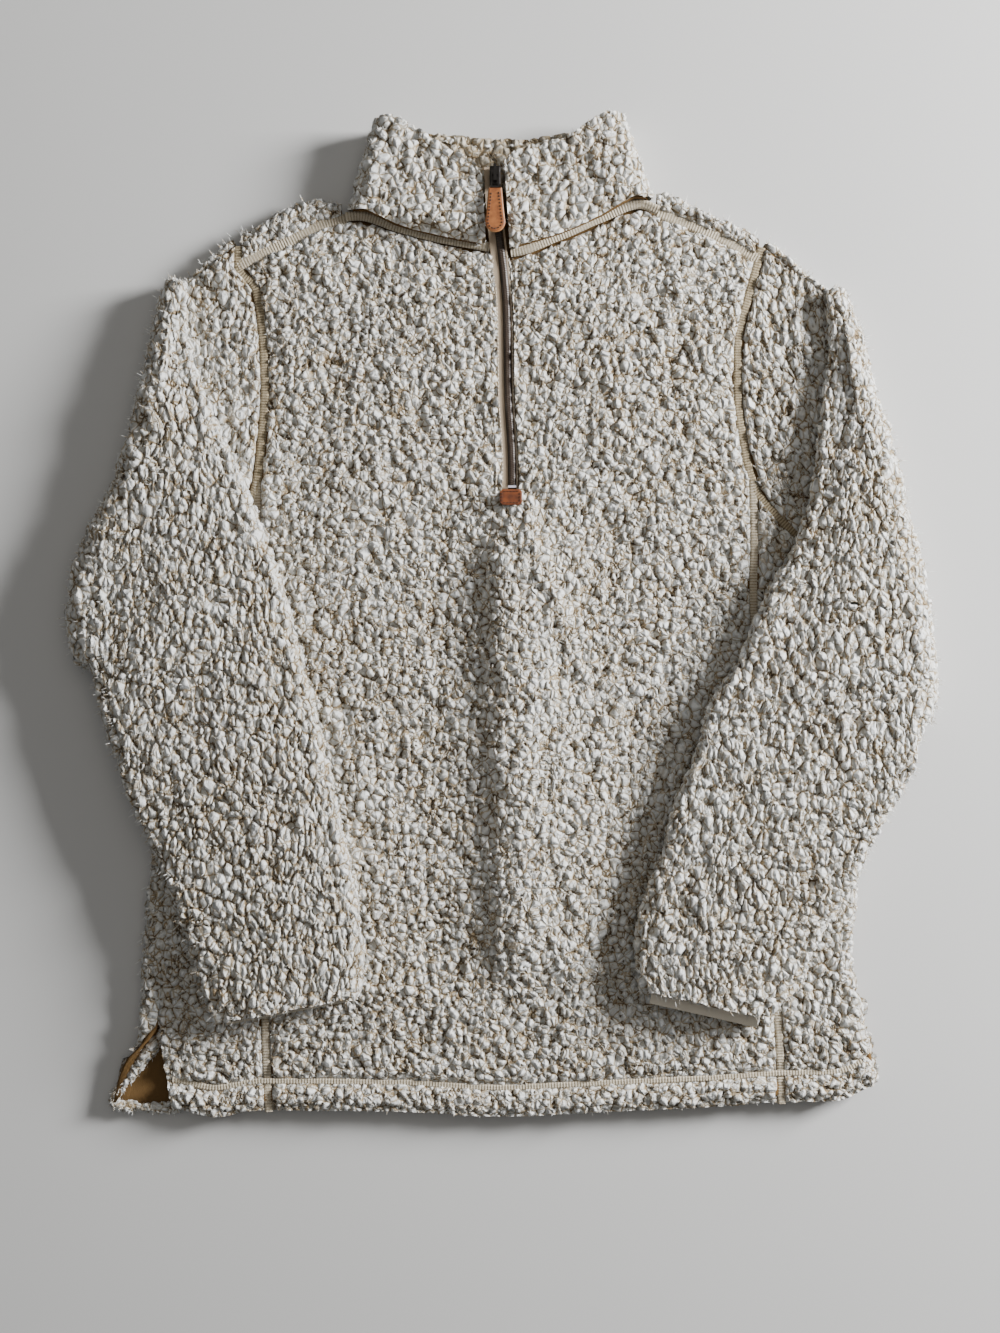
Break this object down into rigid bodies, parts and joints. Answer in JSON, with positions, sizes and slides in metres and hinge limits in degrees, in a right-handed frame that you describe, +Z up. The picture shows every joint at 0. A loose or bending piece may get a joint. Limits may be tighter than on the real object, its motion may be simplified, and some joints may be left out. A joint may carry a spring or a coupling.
{
  "type": "sherpa fleece pullover",
  "caption": "Quarter-zip stand-collar pullover of curly sherpa fleece, laid flat with both sleeves folded over the front.",
  "frame": {"origin": "middle of the laid garment's box, on the surface it lies on", "axes": "+Z up out of the surface, +Y from the hem towards the collar, +X to the right as the garment is looked at"},
  "size_m": [0.6562, 0.762, 0.0436],
  "materials": {
    "fleece": "curly knitted pile, matte",
    "binding": "smooth woven tape, matte",
    "tape": "woven zip tape, matte",
    "coil": "moulded coil, satin",
    "thread": "satin-stitched thread",
    "slider_metal": "dark painted, satin",
    "leather": "smooth waxed, satin"
  },
  "bodies": {
    "pullover": {"back": "fleece", "front": "fleece", "side_left": "fleece", "side_right": "fleece", "sleeve_left": "fleece", "sleeve_right": "fleece", "collar_inner": "fleece", "collar_outer": "fleece", "cuff_binding_left": "binding", "cuff_binding_right": "binding", "zip_tape_left": "tape", "zip_tape_right": "tape", "zip_chain": "coil", "zip_stop": "thread", "zip_slider": "slider_metal", "zip_patch": "leather"},
    "pull": {"zip_link": "slider_metal", "zip_pull": "leather"}
  },
  "joints": [
    {"name": "pull_swing", "type": "hinge", "parent": "pullover", "child": "pull", "pos_m": [-0.0049, 0.332, 0.0344], "axis": [-1, 0, 0], "range_deg": [0, 150]}
  ]
}
